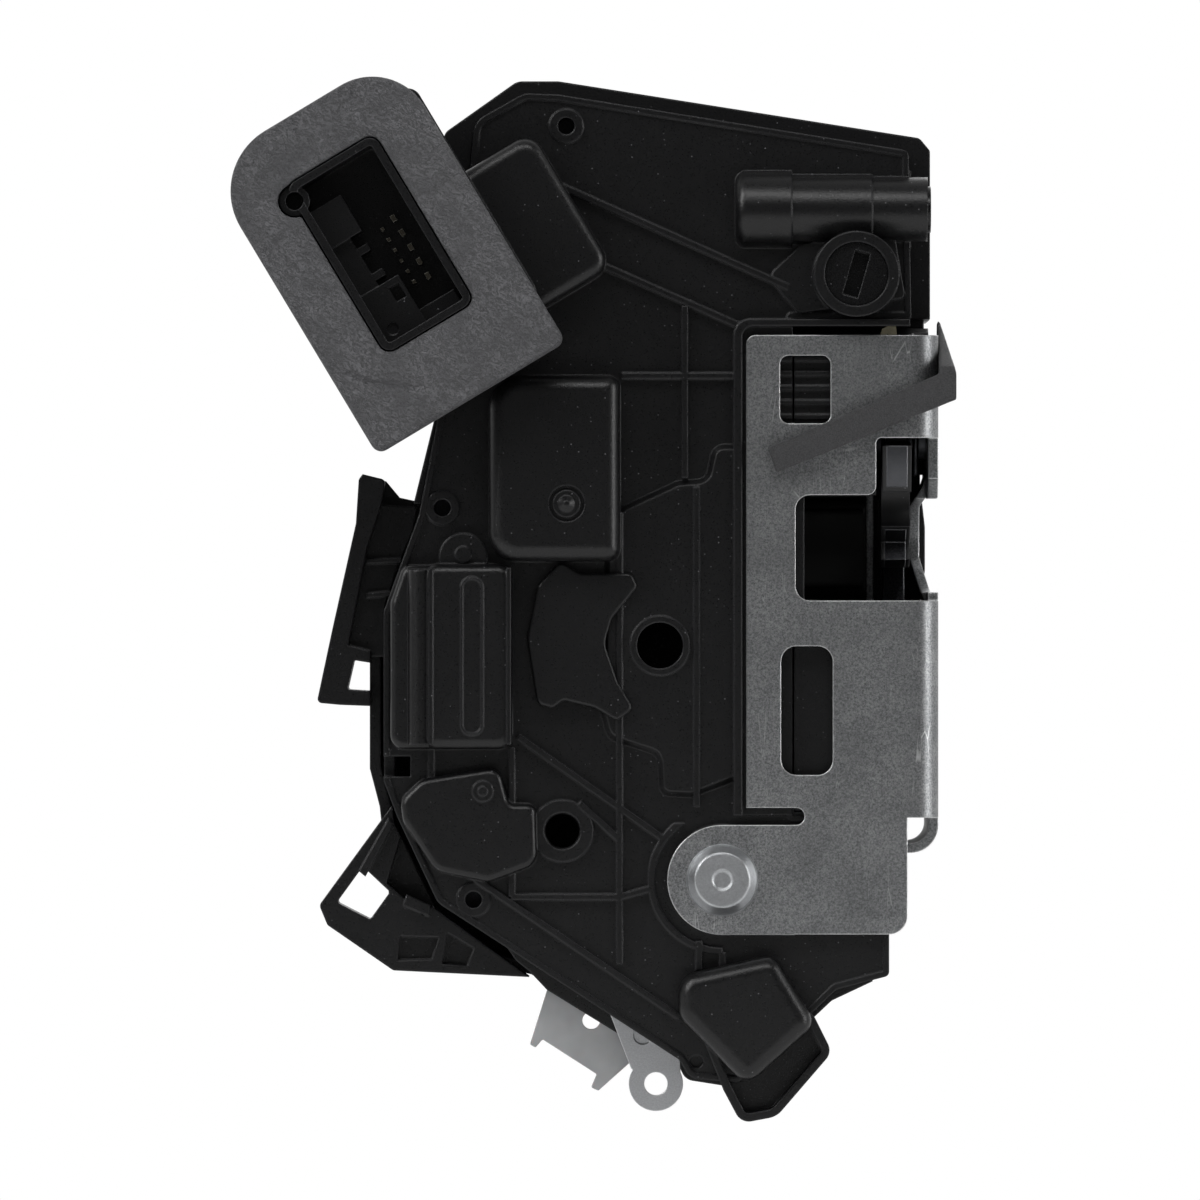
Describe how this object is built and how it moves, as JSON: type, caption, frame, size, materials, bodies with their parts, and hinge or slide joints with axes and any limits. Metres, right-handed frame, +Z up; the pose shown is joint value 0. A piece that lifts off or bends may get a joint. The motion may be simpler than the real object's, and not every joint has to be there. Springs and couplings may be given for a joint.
{
  "type": "car door lock",
  "caption": "Side-door lock with a steel latch plate, turning claw and pawl, plastic housing, lock motor, handle levers, key dial, child lock and foam-sealed plug socket.",
  "frame": {"origin": "on the axis of the latched striker bar, in the outer plane of the shut face", "axes": "+X out of the shut face, -Y towards the cabin, +Z up"},
  "size_m": [0.1301, 0.0742, 0.1879],
  "materials": {
    "zinc_plated_steel": "zinc plated",
    "hardened_steel": "phosphated",
    "spring_steel": "oiled wire",
    "black_nylon": "fine grain",
    "soft_foam": "skinned foam",
    "coat_plastic": "moulded",
    "rubber_buffer": "moulded",
    "switch_plastic": "moulded",
    "turned_steel": "turned",
    "pale_steel": "zinc plated",
    "pale_plastic": "moulded",
    "motor_steel": "drawn",
    "gear_plastic": "acetal",
    "gloss_black": "moulded",
    "socket_plastic": "moulded",
    "tinned_brass": "tinned",
    "screw_steel": "black zinc"
  },
  "bodies": {
    "housing": {"latch_plate": "zinc_plated_steel", "bridge_plate": "zinc_plated_steel", "claw_pin": "hardened_steel", "claw_spring": "spring_steel", "pawl_pin": "hardened_steel", "pawl_spring": "spring_steel", "fixing_nuts": "zinc_plated_steel", "claw_case": "black_nylon", "pawl_case": "black_nylon", "striker_guide": "black_nylon", "striker_buffer": "rubber_buffer", "latch_switch": "switch_plastic", "front_shell": "black_nylon", "rear_cover": "black_nylon", "lower_hood": "black_nylon", "clip_bracket": "black_nylon", "cable_bracket": "black_nylon", "kidney_cover": "black_nylon", "tongue_rivet": "turned_steel", "lever_spring": "spring_steel", "lock_motor": "motor_steel", "motor_cradle": "black_nylon", "wheel_axle": "hardened_steel", "plug_socket": "socket_plastic", "socket_terminals": "tinned_brass", "foam_pad": "soft_foam", "foam_strip": "soft_foam", "lead_frame": "switch_plastic", "housing_screws": "screw_steel"},
    "claw": {"claw": "hardened_steel", "claw_sleeve": "coat_plastic"},
    "pawl": {"pawl": "hardened_steel"},
    "release_lever": {"release_lever": "pale_steel"},
    "inside_lever": {"inside_lever": "pale_plastic"},
    "worm": {"worm": "gear_plastic"},
    "worm_wheel": {"worm_wheel": "gear_plastic"},
    "key_dial": {"key_dial": "gloss_black"},
    "child_lock_spindle": {"child_lock_spindle": "gloss_black"}
  },
  "joints": [
    {"name": "claw_turn", "type": "hinge", "parent": "housing", "child": "claw", "pos_m": [-0.0075, 0, 0.02], "axis": [1, 0, 0], "range_deg": [0, 52], "stiffness_Nm_per_rad": 0.03, "springref_deg": -22.92},
    {"name": "lever_swing", "type": "hinge", "parent": "housing", "child": "release_lever", "pos_m": [-0.039, -0.014, -0.0598], "axis": [0, -1, 0], "range_deg": [0, 8], "stiffness_Nm_per_rad": 0.12, "springref_deg": -22.92},
    {"name": "pawl_turn", "type": "hinge", "parent": "housing", "child": "pawl", "pos_m": [-0.0075, 0.006, -0.02], "axis": [-1, 0, 0], "range_deg": [0, 12]},
    {"name": "inside_lever_swing", "type": "hinge", "parent": "housing", "child": "inside_lever", "pos_m": [-0.039, -0.0089, -0.0598], "axis": [0, -1, 0], "range_deg": [0, 12], "stiffness_Nm_per_rad": 0.05, "springref_deg": -22.92},
    {"name": "worm_spin", "type": "hinge", "parent": "housing", "child": "worm", "pos_m": [-0.0691, -0.0146, -0.011], "axis": [0, 0, 1], "range_deg": [-690, 690]},
    {"name": "wheel_turn", "type": "hinge", "parent": "housing", "child": "worm_wheel", "pos_m": [-0.0839, -0.0146, -0.011], "axis": [0, 1, 0], "range_deg": [-30, 30]},
    {"name": "key_turn", "type": "hinge", "parent": "housing", "child": "key_dial", "pos_m": [-0.0149, -0.0228, 0.0492], "axis": [0, 1, 0], "range_deg": [0, 90]},
    {"name": "child_lock_turn", "type": "hinge", "parent": "housing", "child": "child_lock_spindle", "pos_m": [-0.0172, -0.02, 0.061], "axis": [1, 0, 0], "range_deg": [0, 90]}
  ],
  "couplings": [
    {"joint": "pawl_turn", "follows": "lever_swing", "ratio": 1.5},
    {"joint": "wheel_turn", "follows": "worm_spin", "ratio": 0.043478}
  ]
}
